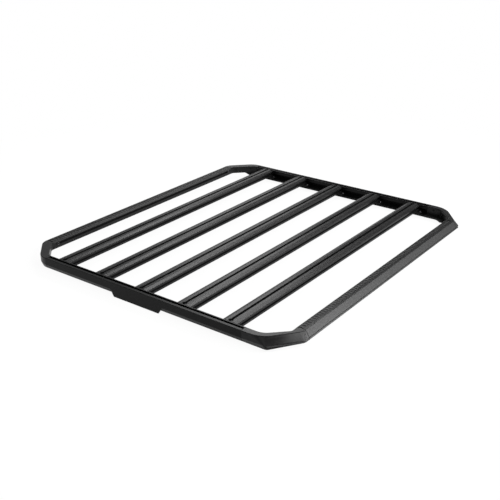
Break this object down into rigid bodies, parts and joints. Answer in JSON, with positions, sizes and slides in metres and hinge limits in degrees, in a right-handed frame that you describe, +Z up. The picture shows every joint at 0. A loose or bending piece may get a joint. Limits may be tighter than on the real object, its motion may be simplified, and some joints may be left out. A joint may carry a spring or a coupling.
{
  "type": "flat platform roof rack",
  "caption": "Flat black aluminium roof platform: slotted crossbars between deep side rails, with sloped end rails, ribbed grip strips and chamfered cast corners.",
  "frame": {"origin": "centre of the rack's footprint, at the level of its lowest edge", "axes": "+X across the vehicle along the bars, +Y along the side rails towards the rear, +Z up"},
  "size_m": [1.5, 1.3354, 0.059],
  "materials": {
    "powder_coat": "satin black powder coat",
    "corner": "satin black powder coat on a casting",
    "bracket": "matt black coated aluminium",
    "grip": "ribbed matt black rubber",
    "plate": "satin black"
  },
  "bodies": {
    "root": {"crossbar_1": "powder_coat", "crossbar_2": "powder_coat", "crossbar_3": "powder_coat", "crossbar_4": "powder_coat", "crossbar_5": "powder_coat", "front_end_rail": "powder_coat", "front_grip_strip": "grip", "front_left_corner": "corner", "front_right_corner": "corner", "left_bracket_1": "bracket", "left_bracket_2": "bracket", "left_bracket_3": "bracket", "left_bracket_4": "bracket", "left_bracket_5": "bracket", "left_side_plate": "plate", "left_side_rail": "powder_coat", "rear_end_rail": "powder_coat", "rear_grip_strip": "grip", "rear_left_corner": "corner", "rear_right_corner": "corner", "right_bracket_1": "bracket", "right_bracket_2": "bracket", "right_bracket_3": "bracket", "right_bracket_4": "bracket", "right_bracket_5": "bracket", "right_side_rail": "powder_coat"}
  },
  "joints": []
}
